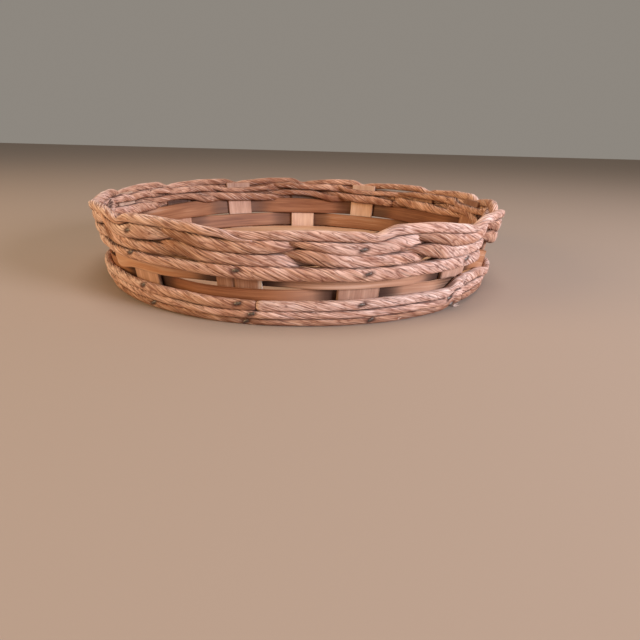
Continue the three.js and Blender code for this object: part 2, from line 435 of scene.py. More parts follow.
def node(tree, kind, sockets=None, **settings):
    """Adds a shader node. A socket's value is a number or colour, or another node's output."""
    made = tree.nodes.new("ShaderNode" + kind)
    for key, value in settings.items():
        setattr(made, key, value)
    for key, value in (sockets or {}).items():
        if isinstance(value, bpy.types.NodeSocket):
            tree.links.new(value, made.inputs[key])
        else:
            made.inputs[key].default_value = value
    return made


def new_material(name):
    made = bpy.data.materials.new(name)
    made.use_nodes = True
    tree = made.node_tree
    tree.nodes.clear()
    return made, tree


def finish_material(tree, colour, roughness, bump, ior, metallic=0.0):
    shader = node(
        tree,
        "BsdfPrincipled",
        {"Base Color": colour, "Roughness": roughness, "IOR": ior, "Metallic": metallic, "Normal": bump},
    )
    node(tree, "OutputMaterial", {"Surface": shader.outputs["BSDF"]})


def maths(tree, how, *values):
    return node(tree, "Math", dict(enumerate(values)), operation=how).outputs[0]


def attribute(tree, name):
    return node(tree, "Attribute", attribute_name=name).outputs["Fac"]


def ramp(tree, factor, *stops):
    """Colours over a factor. A stop is a place and an sRGB hex colour, or a place and a number."""
    made = node(tree, "ValToRGB", {"Fac": factor})
    elements = made.color_ramp.elements
    while len(elements) < len(stops):
        elements.new(0.5)
    for element, (place, colour) in zip(elements, stops):
        element.position = place
        element.color = linear(colour) if isinstance(colour, str) else [colour] * 3 + [1.0]
    return made.outputs["Color"]


MIX_FACTOR, MIX_FIRST, MIX_SECOND, MIX_RESULT = 0, 6, 7, 2  # a Mix node's sockets for colours


def blend_colours(tree, share, first, second, how="MIX"):
    """Mixes two colours, each an sRGB hex colour or another node's output."""
    first, second = (linear(c) if isinstance(c, str) else c for c in (first, second))
    sockets = {MIX_FACTOR: share, MIX_FIRST: first, MIX_SECOND: second}
    return node(tree, "Mix", sockets, data_type="RGBA", blend_type=how).outputs[MIX_RESULT]


def stretched_noise(tree, source, sizes, detail=3.0, roughness=0.55):
    """Noise whose grains have these sizes in millimetres, from a vector in millimetres."""
    scaled = node(tree, "Mapping", {"Vector": source, "Scale": [1 / size for size in sizes]})
    noise = node(
        tree,
        "TexNoise",
        {"Vector": scaled.outputs["Vector"], "Scale": 1.0, "Detail": detail, "Roughness": roughness},
    )
    return noise.outputs["Fac"]


def lay_vector(tree):
    return node(tree, "UVMap", uv_map=LAY_MAP).outputs["UV"]


def object_millimetres(tree):
    place = node(tree, "TexCoord").outputs["Object"]
    return node(tree, "VectorMath", {0: place, 1: (1000, 1000, 1000)}, operation="MULTIPLY").outputs[0]


# Kraft paper rush: a strip of brown kraft paper twisted damp into a cord, unsized and unvarnished.
# It is matt. Its folds run round it, painted pale along their ridges, partly as rubbed paper and
# partly as a painted highlight, and darker in their creases with painted shade. Real paper has
# finer wrinkles. They are drawn about a millimetre apart, so that they show, bumped and painted as
# dark lines of painted shade.
def paper_cord_material():
    made, tree = new_material("twisted_kraft_paper_cord")
    lay = lay_vector(tree)
    fibres = stretched_noise(tree, lay, (8, 0.8, 1))
    wrinkles = stretched_noise(tree, lay, (13, 1.7, 1), 1.5)
    blotches = stretched_noise(tree, lay, (20, 7, 1), 2.0)
    tones = ((0.0, "#8B5C3C"), (0.3, "#C9A087"), (0.5, "#E3BAA1"), (0.66, "#F2CFC0"), (1.0, "#FAE4DC"))
    plain = ramp(tree, attribute(tree, "tone"), *tones)
    blotch = ramp(tree, blotches, (0.35, "#E7DAD1"), (0.65, "#FFFFFF"))
    patchy = blend_colours(tree, 1.0, plain, blotch, "MULTIPLY")
    streak = ramp(tree, fibres, (0.36, "#C2ABA0"), (0.64, "#FFFFFF"))
    streaked = blend_colours(tree, 1.0, patchy, streak, "MULTIPLY")
    # Pale along the folds' ridges: partly rubbed paper, partly a painted highlight
    rubbed = blend_colours(tree, attribute(tree, "rubbed"), streaked, "#F4DACC")
    # Fine wrinkles, bumped and painted as dark lines of painted shade
    beside_line = maths(tree, "ABSOLUTE", maths(tree, "SUBTRACT", wrinkles, 0.5))
    line = ramp(tree, beside_line, (0.0, 0.7), (0.04, 0.0))
    lined = blend_colours(tree, line, rubbed, "#6A3420")
    # Painted shade: darker in the folds' creases, between rows, under each cord and round each staple
    deep = ramp(tree, attribute(tree, "crease"), (0.0, 0.0), (0.5, 0.55), (1.0, 0.97))
    shaded = blend_colours(tree, deep, lined, "#3E1608")
    relief = maths(tree, "SUBTRACT", fibres, line)
    bump = node(tree, "Bump", {"Height": relief, "Strength": 0.7, "Distance": 0.15 * MM})
    finish_material(tree, shaded, 0.88, bump.outputs["Normal"], 1.5)
    return made


# Hardwood splint: a thin strip rived and shaved along the grain, left bare. The grain runs the
# whole length in streaks about a millimetre apart, and a fresh cut or split is paler. That pale
# colour is also painted on as a sheen, and painted shade, with some dirt, darkens it.
def splint_material(name, dark, mid, pale, streak_length):
    made, tree = new_material(name)
    lay = lay_vector(tree)
    grain = stretched_noise(tree, lay, (streak_length, 0.9, 1), 4.0, 0.6)
    broad = stretched_noise(tree, lay, (streak_length * 1.5, 4.5, 1), 2.0)
    both = maths(tree, "ADD", grain, broad)
    toned = maths(tree, "ADD", both, attribute(tree, "tone"))
    third = maths(tree, "MULTIPLY", toned, 1 / 3)
    colour = ramp(tree, third, (0.34, dark), (0.5, mid), (0.64, pale))
    # Pale where freshly cut, and a painted sheen where light glances off
    cut = blend_colours(tree, attribute(tree, "rubbed"), colour, "#E3D6CE")
    # Painted shade, and some dirt at the weaver's torn start
    with_shade_and_dirt = blend_colours(tree, attribute(tree, "crease"), cut, "#2E1004")
    bump = node(tree, "Bump", {"Height": grain, "Strength": 0.6, "Distance": 0.2 * MM})
    finish_material(tree, with_shade_and_dirt, 0.62, bump.outputs["Normal"], 1.5)
    return made


# Birch plywood board, sanded and left bare: pale, with faint straight grain. The stakes hide its edge.
def board_material():
    made, tree = new_material("sanded_birch_plywood")
    place = object_millimetres(tree)
    grain = stretched_noise(tree, place, (60, 1.2, 30), 4.0, 0.6)
    broad = stretched_noise(tree, place, (140, 16, 30), 2.0)
    half = maths(tree, "MULTIPLY", maths(tree, "ADD", grain, broad), 0.5)
    colour = ramp(tree, half, (0.35, "#BB8D6A"), (0.5, "#D2A684"), (0.65, "#E2BE9F"))
    bump = node(tree, "Bump", {"Height": grain, "Strength": 0.3, "Distance": 0.08 * MM})
    finish_material(tree, colour, 0.5, bump.outputs["Normal"], 1.5)
    return made


# Drawn steel staple wire, dulled and tarnished dark.
def staple_material():
    made, tree = new_material("tarnished_steel_wire")
    place = object_millimetres(tree)
    tarnish = stretched_noise(tree, place, (0.6, 0.6, 0.6), 2.0)
    colour = ramp(tree, tarnish, (0.35, "#474341"), (0.5, "#8A8480"), (0.7, "#735A4A"))
    rough = ramp(tree, tarnish, (0.3, 0.35), (0.7, 0.6))
    bump = node(tree, "Bump", {"Height": tarnish, "Strength": 0.3, "Distance": 0.03 * MM})
    finish_material(tree, colour, rough, bump.outputs["Normal"], 1.5, metallic=1.0)
    return made


paper_cord = paper_cord_material()
weaver_splint = splint_material("shaved_hardwood_splint", "#7E4A2C", "#AE7854", "#D2AA90", 40)
stake_splint = splint_material("sawn_hardwood_splint", "#9C6E55", "#C79D85", "#E0BFA8", 22)
bare_board = board_material()
staple_wire = staple_material()


# Cords

CORD_LEAD = 42.0  # one turn of the twist, along the cord
CORD_FOLDS = 13  # of the paper, round the cord
SIDES_PER_FOLD = 5
CORD_STEP = 1.1  # between two stations
FULLER = 0.22  # a cord is drawn this much fuller than its solid, so that it presses on the next
SQUARENESS = 2.7  # 2 is an ellipse, and more is flatter where cords press together
END_ROUNDING = (0, 0.72, 0.94)  # shares of a cord's thickness at its last stations
SHALLOWEST_CREASE = 0.03
DEEPEST_CREASE = 0.45
CREASE_WIDTH = (0.16, 0.42)  # as shares of a fold: the side that is tucked under, and the other
LINE_WIDTH = (0.1, 0.2)  # of the painted shade line in a crease, the same way
FOLD_UNEVENNESS = 0.25  # of the places of the folds, as a share of one
MIDDLE_SWELL = 0.12  # how far a fold swells out, on average
FAR_SWELL = 0.1  # and near the next fold
RUB_AND_HIGHLIGHT_AT = 0.35  # of a fold, where it is painted pale: partly rubbed paper, partly a painted highlight
RUB_AND_HIGHLIGHT_REACH = 0.16
RUB_AND_HIGHLIGHT_SHARE = 0.7

# How a cord's shape and tone wander along it: millimetres between turns, and how much
LUMPS = (11, 0.035)
RISE_AND_FALL = (28, 0.18)
IN_AND_OUT = (24, 0.2)
FOLD_DRIFT = (9, 0.026)  # as a share of a turn
FOLD_DEPTH = (7, 0.5)  # from the shallowest to the deepest
TWIST_CHANGE = (40, 0.22)
FOLD_TONE = (16, 0.2)
FOLD_SWELL = (6, 0.12)
FOLD_RUB_AND_HIGHLIGHT = (7, 0.8)
LONG_TONE = (34, 0.2)
SHORT_TONE = (9, 0.06)

# How much darker or paler the paper is painted, mostly as painted light and shade
PLAIN_TONE = 0.3  # where a tone of 0 lies, between 0 for the darkest and 1 for the palest
INNER_FACE_PAINTED_SHADE = 0.5  # painted shade, on the inside of the basket
TOP_PAINTED_LIGHT = 0.2  # painted light: the upper side of a cord is painted paler, as if lit from above
COMING_OUT_PAINTED_SHADE = 0.5  # painted shade on the outer side of a twined strand, where it comes out between stakes
COMING_OUT_SLOPE = 0.06  # millimetres out at each station, for all of that
COMING_OUT_OFFSETS = (3.75, 3.0)  # between which it fades in
JOINT_REACH = 60.0  # millimetres from a joint, over which its own tone fades
PRESSED_FROM = 0.76  # how high up a cord's side the shade of the next one starts, as a share
PRESSED_SHADE = 0.95
UNDERSIDE_FROM = (0.35, 0.9)  # the same for the fainter shade under a cord
UNDERSIDE_SHADE = 0.3
FACING_IN = (-0.2, 0.7)  # how squarely a face looks inwards, for none and all of its painted shade
FACING_OUT = (-0.2, 0.5)

# How much paler the paper is beside each stake from the first, and darker where it is negative:
# partly its own tone, and partly painted shade, darkest at the back, stakes 8 to 10
ROUND_TONES = (0.08, 0, 0.05, 0.1, 0.1, 0.15, 0.1, -0.1, -0.2, -0.25, 0.1, 0.2, 0.4)


STAPLE_CROWN = 3.6
STAPLE_LEG = 2.6
STAPLE_CORNER = 0.7
STAPLE_WIRE = (1.6, 0.7)  # across the crown, and through it
STAPLE_WIRE_SIDES = 8
STAPLE_TILT = 0.32  # radians, up to the right
TILT_CHANGE = (-0.25, 0.2)
STAPLE_SUNK = 0.65
DENT_DEPTH = 0.6
DENT_REACH = (2.6, 1.3)  # beside and above the staple's middle
HOLLOW_REACH = (2.5, 1.3)


def staple_dent(beside, above):
    """How deep a staple presses the paper in, and how dark the painted shade in the hollow round it
    is, at places this many millimetres beside and above its middle."""
    dent = DENT_DEPTH * bell(beside, 0, DENT_REACH[0]) * bell(above, 0, DENT_REACH[1])
    crown_rise = math.tan(STAPLE_TILT) * beside
    hollow = bell(beside, 0, HOLLOW_REACH[0], 4) * bell(above, crown_rise, HOLLOW_REACH[1], 4)
    return dent, hollow


def cord(name, cad_node, start, end, section, tone, staples=(), pressed=(1, 1), joint_tones=(0, 0)):
    """A twisted cord that replaces its plain solid, with the folds of its paper as real shape.

    Staples are places in stakes, each with a height above the cord's middle. Pressed says whether
    another row lies below and above, and joint_tones how its two ends differ in tone.
    """
    length = (end - start) * STAKE_PITCH
    stations = int(length / CORD_STEP)
    sides = CORD_FOLDS * SIDES_PER_FOLD
    along_at = np.concatenate([[0], np.linspace(0, length, stations - 1), [length]])
    close = np.ones(stations + 1)
    for at, share in enumerate(END_ROUNDING):
        close[[at, -1 - at]] = share
    stake_at = start + along_at / STAKE_PITCH
    offset, depth, middle, height = section(stake_at)
    lump = 1 + wander(along_at, *LUMPS)
    depth, height = (depth + FULLER) * lump, (height + FULLER) * lump
    middle = middle + wander(along_at, *RISE_AND_FALL)
    offset = offset + wander(along_at, *IN_AND_OUT)
    coming_out = ease(0, COMING_OUT_SLOPE, np.gradient(offset)) * (offset.min() < 0)
    coming_out = coming_out * ease(*COMING_OUT_OFFSETS, offset)

    def each_fold(wandering):
        return np.array([wander(along_at, *wandering) for _ in range(CORD_FOLDS)])

    uneven = chance.uniform(-FOLD_UNEVENNESS, FOLD_UNEVENNESS, CORD_FOLDS)
    valley = (np.arange(CORD_FOLDS) + uneven) / CORD_FOLDS
    drift = each_fold(FOLD_DRIFT)
    strength = mix(SHALLOWEST_CREASE, DEEPEST_CREASE, (0.5 + each_fold(FOLD_DEPTH)) ** 4)
    turned = np.cumsum(np.gradient(along_at) * (1 + wander(along_at, *TWIST_CHANGE))) / CORD_LEAD
    fold_tone = each_fold(FOLD_TONE)
    fold_swell = MIDDLE_SWELL + each_fold(FOLD_SWELL)
    fold_rub_and_highlight = np.maximum(each_fold(FOLD_RUB_AND_HIGHLIGHT), 0)
    tones = tone + curve_through(range(1, STAKE_COUNT + 1), ROUND_TONES, stake_at, STAKE_COUNT)
    tones += wander(along_at, *LONG_TONE) + wander(along_at, *SHORT_TONE)
    for joint_tone, from_joint in zip(joint_tones, (along_at, length - along_at)):
        tones += joint_tone * np.exp(-from_joint / JOINT_REACH)

    def shape(station, row):
        fold, part = row // SIDES_PER_FOLD, row % SIDES_PER_FOLD / SIDES_PER_FOLD
        following = (fold + 1) % CORD_FOLDS
        here = valley[fold] + drift[fold, station]
        there = valley[following] + drift[following, station] + (following < fold)
        angle = 2 * np.pi * (mix(here, there, part) - turned[station])
        c, s = np.cos(angle), np.sin(angle)
        reach = (np.abs(c) ** SQUARENESS + np.abs(s) ** SQUARENESS) ** (-1 / SQUARENESS)
        tucked, open_side = CREASE_WIDTH
        cut = strength[fold, station] * bell(part, 0, open_side)
        cut += strength[following, station] * bell(part, 1, tucked)
        tucked_line, open_line = LINE_WIDTH
        line = strength[fold, station] * bell(part, 0, open_line)
        line += strength[following, station] * bell(part, 1, tucked_line)
        swell = mix(fold_swell[fold, station], FAR_SWELL, part) * np.sin(np.pi * part)
        x = (reach * depth[station] / 2 - cut + swell) * c
        z = (reach * height[station] / 2 - cut + swell) * s
        # Painted shade, as a share: along each fold's crease, where the next row presses, under the cord
        # and in the hollow round each staple
        crease = np.clip(line / DEEPEST_CREASE, 0, 1) ** 0.9
        under, over = pressed
        up_side = np.abs(reach * s) - np.sin(np.pi * part) * fold_swell[fold, station]
        seam = PRESSED_SHADE * ease(PRESSED_FROM, 1, up_side)
        shaded_below = under * mix(seam, ease(*UNDERSIDE_FROM, up_side), UNDERSIDE_SHADE)
        crease = np.maximum(crease, np.where(s < 0, shaded_below, over * seam))
        for place, rise in staples:
            beside = (stake_at[station] - place) * STAKE_PITCH
            dent, hollow = staple_dent(beside, z - rise)
            x = x - dent * (c > 0)
            crease = np.maximum(crease, hollow * (c > 0))
        size = close[station]
        places = on_wall(stake_at[station], offset[station] + x * size, middle[station] + z * size)
        tone_here = tones[station] + mix(fold_tone[fold, station], fold_tone[following, station], part)
        tone_here = tone_here + TOP_PAINTED_LIGHT * s - INNER_FACE_PAINTED_SHADE * ease(*FACING_IN, -c)
        tone_here -= COMING_OUT_PAINTED_SHADE * coming_out[station] * ease(*FACING_OUT, c)
        tone_here = np.clip(mix(PLAIN_TONE, 1, tone_here), 0, 1)
        # Painted pale along each fold's ridge: partly rubbed paper, partly a painted highlight
        rubbed = RUB_AND_HIGHLIGHT_SHARE * fold_rub_and_highlight[fold, station] * bell(part, RUB_AND_HIGHLIGHT_AT, RUB_AND_HIGHLIGHT_REACH)
        return places, along_at[station], {"crease": crease, "tone": tone_here, "rubbed": rubbed}

    girth = math.pi * (CORD_DEPTH + TOP_CORD_HEIGHT) / 2
    tube(name, stations, sides, shape, girth, paper_cord, [cad_node])
    for number, (place, rise) in enumerate(staples):
        at = int(np.argmin(np.abs(stake_at - place)))
        face = offset[at] + depth[at] / 2 - STAPLE_SUNK
        staple(f"{name}_staple_{number + 1}", place, face, middle[at] + rise)


def staple(name, place, face, height):
    """A flat wire crown that lies across a cord, with its two legs driven into the stake."""
    tilt = STAPLE_TILT + chance.uniform(*TILT_CHANGE)
    half, corner = STAPLE_CROWN / 2, STAPLE_CORNER
    turn = np.linspace(0, math.pi / 2, 4)
    bend = [(half - corner + corner * math.sin(a), corner * (math.cos(a) - 1)) for a in turn]
    right = bend + [(half, -STAPLE_LEG)]
    route = [(-x, y) for x, y in reversed(right)] + right
    route = np.array([route[0]] + route + [route[-1]])
    stations = len(route) - 1
    heading = np.gradient(route, axis=0)
    heading[[0, -1]] = heading[[1, -2]]
    heading /= np.linalg.norm(heading, axis=1)[:, None]
    close = np.ones(stations + 1)
    close[[0, -1]] = 0
    run = np.concatenate([[0], np.cumsum(np.linalg.norm(np.diff(route, axis=0), axis=1))])

    def shape(station, row):
        angle = 2 * np.pi * (row + 0.5) / STAPLE_WIRE_SIDES
        wide = np.cos(angle) * STAPLE_WIRE[0] / 2 * close[station]
        thick = np.sin(angle) * STAPLE_WIRE[1] / 2 * close[station]
        beside = route[station, 0] - heading[station, 1] * thick
        out = route[station, 1] + heading[station, 0] * thick
        along = beside * math.cos(tilt) - wide * math.sin(tilt)
        up = beside * math.sin(tilt) + wide * math.cos(tilt)
        return on_wall(place + along / STAKE_PITCH, face + out, height + up), run[station], {}

    tube(name, stations, STAPLE_WIRE_SIDES, shape, 2 * sum(STAPLE_WIRE), staple_wire)


def ring_end(joint):
    return joint + STAKE_COUNT - CORD_END_GAP / STAKE_PITCH


NEAR_STAKE = 0.3
HIDDEN_STAPLE_ASIDE = (-0.08, 0.08)
HIDDEN_STAPLE_RISE = (-0.3, 0.7)


def staples_from(joint, count, *seen):
    """Staple places of a row from its joint on: those that the photograph shows, each as a place
    and a rise, and at the other stakes one at about the stake's middle."""
    shown = [(place + STAKE_COUNT * (place < joint), rise) for place, rise in seen]
    places = []
    for stake in range(math.ceil(joint), math.ceil(joint) + count):
        near = [staple_at for staple_at in shown if abs(staple_at[0] - stake) < NEAR_STAKE]
        aside, rise = chance.uniform(*HIDDEN_STAPLE_ASIDE), chance.uniform(*HIDDEN_STAPLE_RISE)
        places.append(near[0] if near else (stake + aside, rise))
    return places


# Each staple's place and rise. Those at the front are as the photograph shows them. The middle
# row's first and the twined row's last four are hidden in it, and guessed.
BOTTOM_STAPLES = ((1.15, 0.6), (2.07, 0), (3.08, 0.3), (3.99, -0.9))
MIDDLE_STAPLES = ((12.05, 0.2), (15.127, 0.5), (16.89, 0.9))
TOP_STAPLES = ((1.055, 0.9), (2.022, 0.9), (2.99, 0.2), (4.08, 0.2))
BAND_STAPLES = ((1.04, 1.4), (2.024, 0.9), (3.0, 0.6), (4.022, 1.2))
TWINE_STAPLES = ((14.05, 0.4), (15.95, 0), (18, 0.2), (20.03, 0.3), (22, 0), (23.96, 0.2))

# The bottom row's low tone, and the darker end of the top row to the left of its joint, are partly
# painted shade, low down near the floor
lower_rows = (
    # row, node, joint, foot, height, how far it rides up, tone, how its two ends differ in tone,
    # whether another row lies below and above, and its staples
    ("bottom", "lower_cord_1", BOTTOM_CORD_JOINT, CORD_FOOT_HEIGHT, BOTTOM_CORD_HEIGHT,
     1.5, -0.12, (0, 0), (0, 1), BOTTOM_STAPLES),
    ("middle", "lower_cord_2", MIDDLE_CORD_JOINT, MIDDLE_CORD_FOOT, MIDDLE_CORD_HEIGHT,
     2.5, 0.42, (0, 0), (1, 1), MIDDLE_STAPLES),
    ("top", "lower_cord_3", TOP_CORD_JOINT, TOP_CORD_FOOT, TOP_CORD_HEIGHT,
     4.0, 0.54, (0.3, -0.5), (1, 0), TOP_STAPLES),
)
for row, cad_node, joint, foot, height, ride_up, tone, joint_tones, pressed, staples in lower_rows:
    if row != "middle":  # that one is drawn with only three
        staples = staples_from(joint, STAKE_COUNT, *staples)
    section = laid_row(foot, height, ride_up)
    cord("lower_row_" + row, cad_node, joint, ring_end(joint), section, tone,
         staples, pressed, joint_tones)

cord("band_row", "band_cord", BAND_FROM, BAND_TO, band_section, 0.5,
     staples_from(BAND_FROM, STAKE_COUNT - 1, *BAND_STAPLES), pressed=(0, 1))

for strand, turned, lower_inside, upper_inside, staples in (
    ("a", 0, LOWER_INSIDE_HIGH, UPPER_INSIDE_LOW, TWINE_STAPLES),
    ("b", 1, LOWER_INSIDE_LOW, UPPER_INSIDE_HIGH, ()),
):
    section = twined_strand(LOWER_OUTSIDE, lower_inside, turned)
    cord("lower_twined_strand_" + strand, "lower_twine_" + strand, LOWER_TWINE_JOINT,
         ring_end(LOWER_TWINE_JOINT), section, 0.45 + 0.1 * turned)
    section = twined_strand(UPPER_OUTSIDE, upper_inside, turned)
    cord("upper_twined_strand_" + strand, "upper_twine_" + strand, UPPER_TWINE_JOINT,
         ring_end(UPPER_TWINE_JOINT), section, 0.55 - 0.1 * turned, staples)

cord("rim_row", "rim_cord", RIM_FROM, RIM_TO, rim_section, 0.63, pressed=(1, 0), joint_tones=(0, -0.2))


SLIVER_RADIUS = 0.45
SLIVER_FLATNESS = 0.3
SLIVER_LEAN = 0.6  # how far out it goes, for each millimetre of its length
SLIVER_SUNK = 0.4


def tuft(name, place, height, slivers):
    """Frayed slivers of paper that stick out of a cord, each with a length and two slopes."""
    stations, sides = 6, 4
    for number, (length, sideways, upwards) in enumerate(slivers):
        run = np.linspace(0, length, stations + 1)
        out = STAKE_THICKNESS / 2 + CORD_DEPTH - SLIVER_SUNK + SLIVER_LEAN * run

        def shape(station, row):
            angle = 2 * np.pi * row / sides
            narrow = np.sin(np.pi * (0.25 + 0.75 * station / stations)) * (station > 0)
            size = SLIVER_RADIUS * narrow
            along = run[station] * sideways
            up = height + run[station] * upwards + SLIVER_FLATNESS * size * np.sin(angle)
            places = on_wall(place + along / STAKE_PITCH, out[station] + size * np.cos(angle), up)
            pale = np.ones(len(row))
            return places, run[station], {"crease": 0 * pale, "tone": pale, "rubbed": pale}

        tube(f"{name}_{number + 1}", stations, sides, shape, 2.0, paper_cord)


tuft("frayed_tuft", 4.02, 0.5, ((4.5, 0.8, 0.1), (3.5, 0.7, 0.5), (3, 0.9, -0.2), (2.5, 0.3, 0.7)))
tuft("frayed_curl", 3.32, 0.9, ((3, 0.7, 0.5), (2, 0.9, 0.1)))


# Flat splints


def strip_outline(width, thickness, count, corner):
    """Points round a flat strip with rounded edges: across its thickness, and across its width."""
    half_w, half_t = width / 2 - corner, thickness / 2 - corner
    per_face = count // 2 - 4
    points = []
    for sx, sy in ((1, 1), (-1, -1)):
        ys = np.linspace(-half_w, half_w, per_face) * sy
        points += [(sx * (half_t + corner), y) for y in ys]
        for a in np.linspace(0, math.pi / 2, 4):
            points.append((sx * half_t + sx * corner * math.cos(a), sy * (half_w + corner * math.sin(a))))
    return np.array(points)


WEAVER_STEP = 2.0  # between two stations
WEAVER_SIDES = 44
WEAVER_CORNER = 0.3
WEAVER_RIDGE = 0.05  # of the grain
WEAVER_WIDTH_CHANGE = (35, 0.03)  # how it wanders: millimetres between turns, and how much
WEAVER_SHIFT = (50, 0.15)
WEAVER_TONE_CHANGE = (40, 0.12)
TORN_LENGTH = 3.0  # of the ragged start of the weaver
TORN_WAVE = 2.3  # radians of raggedness for each millimetre across it
LOST_START = 5.0  # how much of it has broken off
# How far the weaver's torn start is darkened: painted shade, with some dirt in its frayed fibres
SHADE_AND_DIRT_LENGTH = 19.0
CURL = 1.4  # how far its start curls out
CURL_LENGTH = 6.0
UPPER_CURL_SHARE = 0.4  # of that, for its upper part
INNER_FACE_SHADE = 0.2  # how much darker the weaver's inner face is painted
BEHIND_SHADE = 0.4  # and how much more where it lies outside a stake
BEHIND_FROM = (-0.2, 0.9)  # how far out it is there, from 0 midway to 1 outside a stake
RECESS_SHADE = 0.92  # on its outer face where it goes in behind a stake
RECESS_FROM = (0.4, 0.97)  # how far in it is there

# How pale the weaver is, by the stakes that it has passed: partly its own tone, partly painted
# light and shade
WEAVER_TONES = (
    (-1, 0.5), (0, 0.7), (1, 0.5), (2, 0.2), (4, 0.3), (8, 0.35), (12, 0.5), (13.2, 0.35),
    (14, 0.75), (14.4, 0.65), (14.8, 0.15), (15.2, 0.4), (16, 0.75), (18, 0.5), (21, 0.1),
    (24, 0.2), (26, 0.4),
)

# Where it departs from an even strip, also by the stakes passed, and by how many millimetres
WIDE_BELOW_AT, WIDE_BELOW_REACH, WIDE_BELOW = 13.1, 0.55, 1.9
WIDE_ABOVE_AT, WIDE_ABOVE_REACH, WIDE_ABOVE = 20.1, 1.4, 1.7
HANG_FROM, HANG_TO, HANG = (16.05, 16.45), (16.7, 17), 3.6  # its lower half hangs down
LATE_AT, LATE_REACH, LATE_BY = 16.6, 0.35, 0.18  # it stays outside this many stakes longer
SHEEN_SPANS = (((0.1, 0.4), (1.3, 1.8)), ((12.8, 13.2), (15, 15.6)))  # painted sheen, pale grey-pink where light glances off its outer face, from and to
SHEEN_SHARE = 0.13


def weaver():
    length = (WEAVER_END + WEAVER_TAIL_AT_START) * STAKE_PITCH
    stations = int(length / WEAVER_STEP)
    outline = strip_outline(WEAVER_WIDTH, WEAVER_THICKNESS, WEAVER_SIDES, WEAVER_CORNER)
    sides = len(outline)
    along_at = np.concatenate([[0], np.linspace(0, length, stations - 1), [length]])
    passed_at = along_at / STAKE_PITCH - WEAVER_TAIL_AT_START
    close = np.ones(stations + 1)
    close[[0, -1]] = 0
    width_change = wander(along_at, *WEAVER_WIDTH_CHANGE)
    shift = wander(along_at, *WEAVER_SHIFT)
    tones = curve_through(*zip(*WEAVER_TONES), passed_at) + wander(along_at, *WEAVER_TONE_CHANGE)
    ridges = chance.uniform(-WEAVER_RIDGE, WEAVER_RIDGE, sides)
    wide_below = WIDE_BELOW * bell(passed_at, WIDE_BELOW_AT, WIDE_BELOW_REACH, 4)
    wide_above = WIDE_ABOVE * bell(passed_at, WIDE_ABOVE_AT, WIDE_ABOVE_REACH, 6)
    hang = HANG * ease(*HANG_FROM, passed_at) * (1 - ease(*HANG_TO, passed_at))

    def shape(station, row):
        along, before = along_at[station], passed_at[station]
        x = (outline[row, 0] + ridges[row]) * close[station]
        z = outline[row, 1] * (1 + width_change[station])
        z = z - (wide_below + hang)[station] * (z < 0) + wide_above[station] * (z > 0)
        from_start = np.exp(-along / TORN_LENGTH)
        torn = from_start * (1 + 0.5 * np.sin(outline[row, 1] * TORN_WAVE + 1)) * TORN_LENGTH
        passed = before + (torn + LOST_START * from_start) / STAKE_PITCH
        curl = CURL * bell(along, 0, CURL_LENGTH) * np.where(z < 1, 1, UPPER_CURL_SHARE)
        late = LATE_BY * bell(passed, LATE_AT, LATE_REACH, 4)
        offset = swing(WEAVER_THICKNESS) * side(passed - late) + x + curl
        height = weaver_bottom(passed) + WEAVER_WIDTH / 2 + shift[station] + z
        places = on_wall(WEAVER_FIRST_STAKE - passed, offset, height)
        # The torn start is darker: painted shade, with some dirt in the fray
        shade_and_dirt_at_start = bell(along, 0, SHADE_AND_DIRT_LENGTH, 6) * (0.8 + 0.2 * np.sin(outline[row, 1] * 4))
        out_here = side(before)
        inner_shade = INNER_FACE_SHADE + BEHIND_SHADE * ease(*BEHIND_FROM, out_here)
        outer_shade = RECESS_SHADE * ease(*RECESS_FROM, -out_here)
        shade = np.where(x < 0, inner_shade, outer_shade)
        # Painted sheen on the outer face
        sheen = sum(ease(*start, passed) - ease(*end, passed) for start, end in SHEEN_SPANS)
        sheen = SHEEN_SHARE * sheen * (x > 0)
        dark = np.maximum(shade_and_dirt_at_start, shade)
        return places, along, {"tone": tones[station], "crease": dark, "rubbed": sheen}

    girth = 2 * (WEAVER_WIDTH + WEAVER_THICKNESS)
    tube("woven_splint", stations, sides, shape, girth, weaver_splint, ["splint_weaver"])


weaver()


SPLIT_STAKE = 2  # it has a split down its face, and its right edge is freshly cut
SPLIT_AT = -1.7  # millimetres to the right of its middle
SPLIT_REACH = 0.35
SPLIT_DEPTH = 0.7
PALE_EDGE_FROM = 9.0
PALE_EDGE_BLEND = 0.6
PALE_EDGE_SHARE = 0.85
WIDER_BY = 1.3  # at that edge
WIDER_FROM = (8, 10)
STAKE_STATIONS = 24
STAKE_SIDES = 80
STAKE_CORNER = 0.35
STAKE_END = 0.3  # the part of its length at either end where its edges are softened
STAKE_END_SHARE = 0.97
STAKE_RIDGE = 0.06  # of the grain
STAKE_WIDTH_CHANGE = (15, 0.012)
ODD_STAKES_LOWER = 1.7  # the rim hides the tops of the odd ones
# How pale each stake is: partly its own tone, partly painted light and shade
STAKE_TONES = {
    1: 0.36, 2: 0.12, 3: 0.16, 4: 0.3, 5: 0.3, 6: 0.1, 7: 0.2, 8: 0.7, 9: 0.75, 10: 0.35, 11: 0.2
}
OTHER_STAKE_TONES = (0.6, 0.85)
# A painted sheen, pale grey-pink, on the outer faces of these stakes
SHEEN_STAKES = (3, 4)
STAKE_SHEEN = 0.1
STAKE_SHIFTS = {1: 1.5, 3: -1.2, 8: 1.2, 9: -1.5, 10: -1.2}  # sideways from even places
SHADED_HEIGHT = WEAVER_TOP + 2.2  # where painted shade lies under the cords, on odd stakes' inner faces
SHADED_REACH = 2.8
SHADED_SHARE = 0.92
TOP_SHADE = 0.3  # on their inner faces under the rim
TOP_SHADE_FROM = (38, 40)  # above their feet


